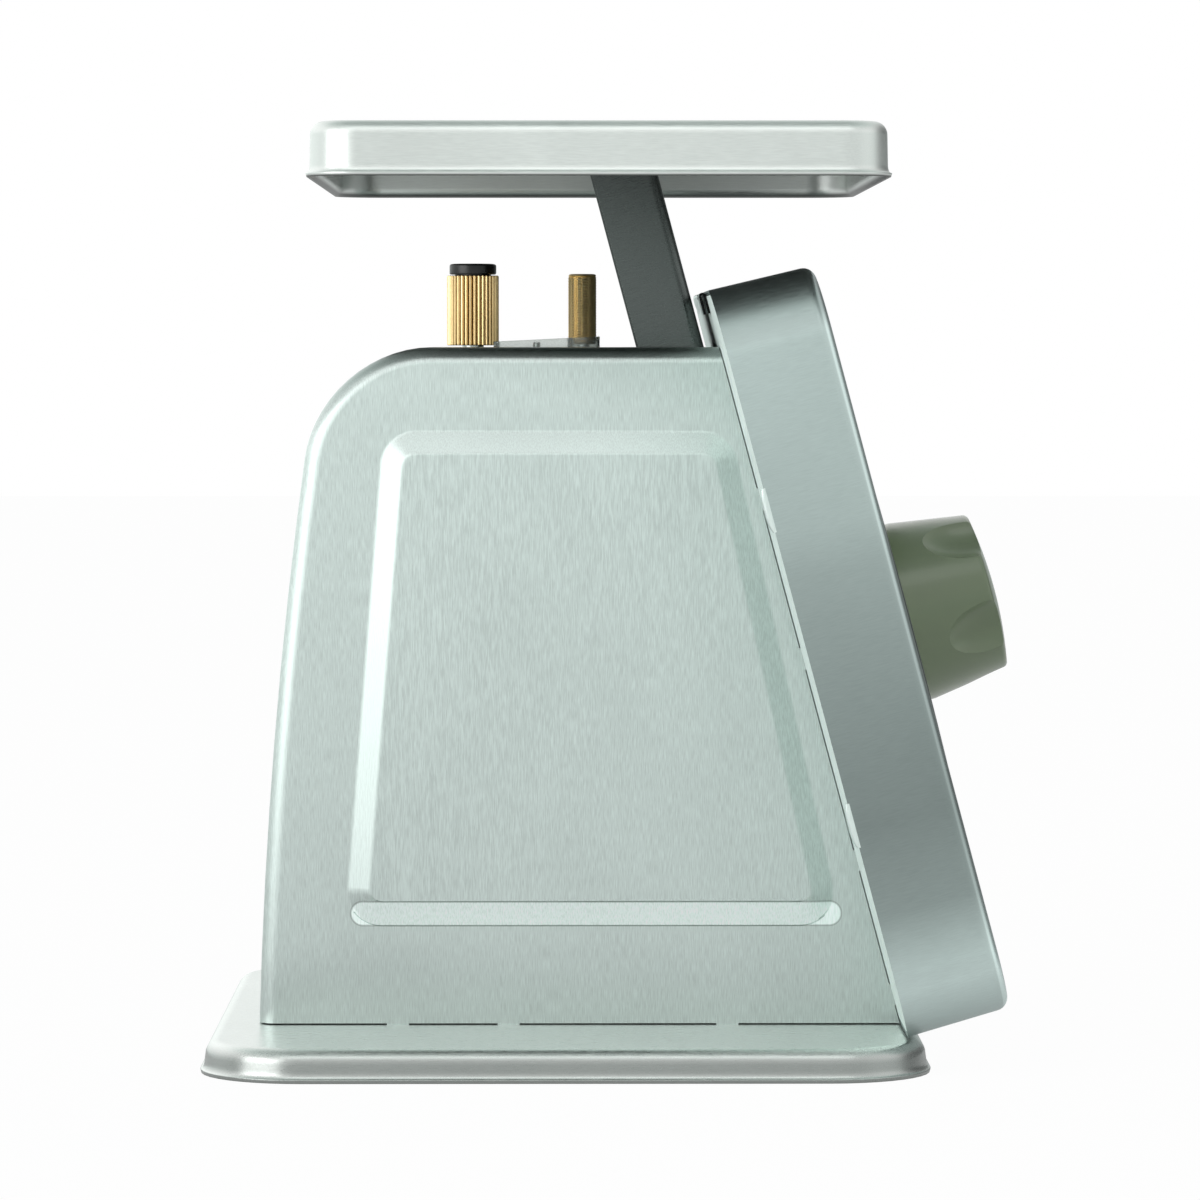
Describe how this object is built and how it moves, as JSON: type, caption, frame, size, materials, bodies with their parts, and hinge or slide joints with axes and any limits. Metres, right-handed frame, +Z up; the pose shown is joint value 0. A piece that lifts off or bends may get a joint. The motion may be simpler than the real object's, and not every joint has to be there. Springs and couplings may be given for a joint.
{
  "type": "portion control scale",
  "caption": "Mechanical portion scale in stainless steel, with a lift-off platform, a tilted round dial with tare knob, and brass zero and damping adjusters.",
  "frame": {"origin": "on the table, under the middle of the whole scale's length and width", "axes": "+X towards the dial, +Z up, Y across"},
  "size_m": [0.2216, 0.222, 0.2528],
  "materials": {
    "casing_steel": "brushed",
    "post_steel": "brushed",
    "frame_steel": "satin",
    "plated_steel": "plated",
    "brass": "machined",
    "black_rubber": "matte",
    "cap_plastic": "satin",
    "clip_nylon": "translucent",
    "knob_plastic": "satin",
    "dial_paint": "matte",
    "pointer_paint": "matte",
    "lens_glass": "clear"
  },
  "bodies": {
    "root": {"base_pan": "casing_steel", "foot_pads": "black_rubber", "base_screws": "plated_steel", "hood": "casing_steel", "chassis_left": "frame_steel", "chassis_right": "frame_steel", "chassis_top": "frame_steel", "chassis_screws": "plated_steel", "link_pivot_pins": "plated_steel", "pivot_clips": "plated_steel", "dial_housing": "casing_steel", "back_plate": "casing_steel", "dial_well": "frame_steel", "lens_gasket": "black_rubber", "movement_bridge": "brass", "bridge_screws": "plated_steel", "front_bushing": "brass", "rear_bushing": "brass", "dashpot_cylinder": "brass", "dashpot_top_cap": "brass", "dashpot_bottom_cap": "brass", "dashpot_nut": "brass", "hanger_guide": "plated_steel", "detent_clip": "clip_nylon", "clip_screw": "plated_steel", "overload_stop": "frame_steel", "stop_tip": "black_rubber", "load_spring": "plated_steel"},
    "carriage": {"platform_post": "post_steel", "platform_spider": "post_steel", "spider_pads": "black_rubber", "carriage_plate": "post_steel", "carriage_screws": "plated_steel", "rack": "brass", "rack_screws": "plated_steel", "piston_rod": "plated_steel", "piston": "plated_steel", "spring_anchor": "brass"},
    "platform": {"platform_tray": "casing_steel"},
    "upper_link": {"upper_link": "frame_steel", "upper_link_pin": "plated_steel"},
    "lower_link": {"lower_link": "frame_steel", "lower_link_pin": "plated_steel"},
    "pointer": {"pinion": "brass", "pinion_shaft": "plated_steel", "pointer": "pointer_paint", "pointer_hub": "brass"},
    "tare_dial": {"dial_face": "dial_paint", "dial_ring": "dial_paint", "lens": "lens_glass", "tare_knob": "knob_plastic", "knob_screw": "plated_steel", "knob_washer": "black_rubber"},
    "zero_knob": {"zero_knob": "brass", "zero_screw": "plated_steel"},
    "spring_hanger": {"spring_hanger": "brass"},
    "damper_knob": {"damper_sleeve": "brass", "damper_cap": "cap_plastic", "damper_needle": "plated_steel"}
  },
  "joints": [
    {"name": "carriage_slide", "type": "slide", "parent": "root", "child": "carriage", "axis": [0, 0, 1], "range_m": [-0.015, 0], "stiffness_N_per_m": 740, "springref_m": 0.018, "deforming": ["load_spring"]},
    {"name": "platform_lift", "type": "slide", "parent": "carriage", "child": "platform", "axis": [0, 0, 1], "range_m": [0, 0.04]},
    {"name": "upper_link_pivot", "type": "hinge", "parent": "root", "child": "upper_link", "pos_m": [-0.04627, 0, 0.14541], "axis": [0, 1, 0], "range_deg": [0, 11.5]},
    {"name": "lower_link_pivot", "type": "hinge", "parent": "root", "child": "lower_link", "pos_m": [-0.02215, 0, 0.05538], "axis": [0, 1, 0], "range_deg": [0, 11.5]},
    {"name": "pointer_spin", "type": "hinge", "parent": "root", "child": "pointer", "pos_m": [0.05104, 0, 0.11074], "axis": [0.9659, 0, 0.2588], "range_deg": [-333, 0]},
    {"name": "tare_dial_turn", "type": "hinge", "parent": "root", "child": "tare_dial", "pos_m": [0.05104, 0, 0.11074], "axis": [0.9659, 0, 0.2588], "continuous": true},
    {"name": "zero_turn", "type": "hinge", "parent": "root", "child": "zero_knob", "pos_m": [-0.00822, 0, 0], "axis": [0, 0, 1], "range_deg": [-726, 726]},
    {"name": "hanger_slide", "type": "slide", "parent": "root", "child": "spring_hanger", "axis": [0, 0, 1], "range_m": [-0.0014, 0.0014]},
    {"name": "damper_turn", "type": "hinge", "parent": "root", "child": "damper_knob", "pos_m": [-0.03882, 0, 0], "axis": [0, 0, 1], "range_deg": [0, 270]}
  ],
  "couplings": [
    {"joint": "upper_link_pivot", "follows": "carriage_slide", "rad_per_m": -13.356},
    {"joint": "lower_link_pivot", "follows": "carriage_slide", "rad_per_m": -13.356},
    {"joint": "pointer_spin", "follows": "carriage_slide", "rad_per_m": 386.37},
    {"joint": "zero_turn", "follows": "hanger_slide", "rad_per_m": -8976}
  ]
}
